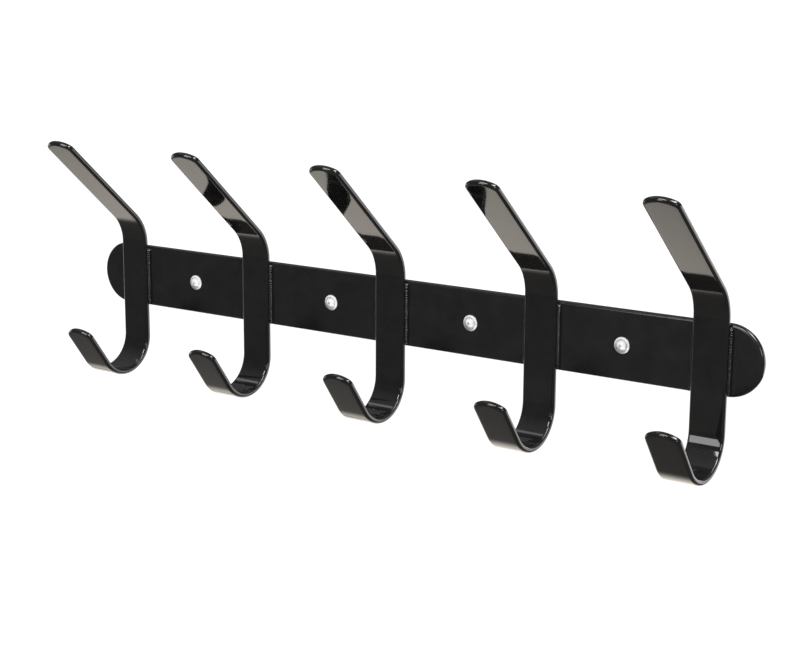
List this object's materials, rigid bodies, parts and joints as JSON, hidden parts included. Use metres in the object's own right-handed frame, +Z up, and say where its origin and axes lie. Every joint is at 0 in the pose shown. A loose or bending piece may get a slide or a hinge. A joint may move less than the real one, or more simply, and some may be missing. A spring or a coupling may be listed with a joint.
{
  "type": "wall-mounted tack hook rack",
  "caption": "Flat wall bar with round ends carrying a row of welded strip hooks, each with a raised arm and a curled lower hook, fixed by pan-head screws.",
  "frame": {"origin": "centre of the bar's back face, which lies on the wall", "axes": "+X along the bar, to the right seen from the front; +Z up; +Y into the wall, so the front of the rack is -Y"},
  "size_m": [0.5918, 0.1382, 0.1959],
  "materials": {
    "bar_coating": "gloss black coating with a slight orange peel",
    "hook_coating": "high gloss black coating",
    "weld_coating": "gloss black coating over rippled weld",
    "screw_zinc": "bright zinc plating"
  },
  "bodies": {
    "root": {"back_bar": "bar_coating", "hook_1": "hook_coating", "hook_2": "hook_coating", "hook_3": "hook_coating", "hook_4": "hook_coating", "hook_5": "hook_coating", "weld_1_left": "weld_coating", "weld_2_left": "weld_coating", "weld_3_left": "weld_coating", "weld_4_left": "weld_coating", "weld_5_left": "weld_coating", "weld_1_right": "weld_coating", "weld_2_right": "weld_coating", "weld_3_right": "weld_coating", "weld_4_right": "weld_coating", "weld_5_right": "weld_coating", "wall_screw_1": "screw_zinc", "wall_screw_2": "screw_zinc", "wall_screw_3": "screw_zinc", "wall_screw_4": "screw_zinc"}
  },
  "joints": []
}
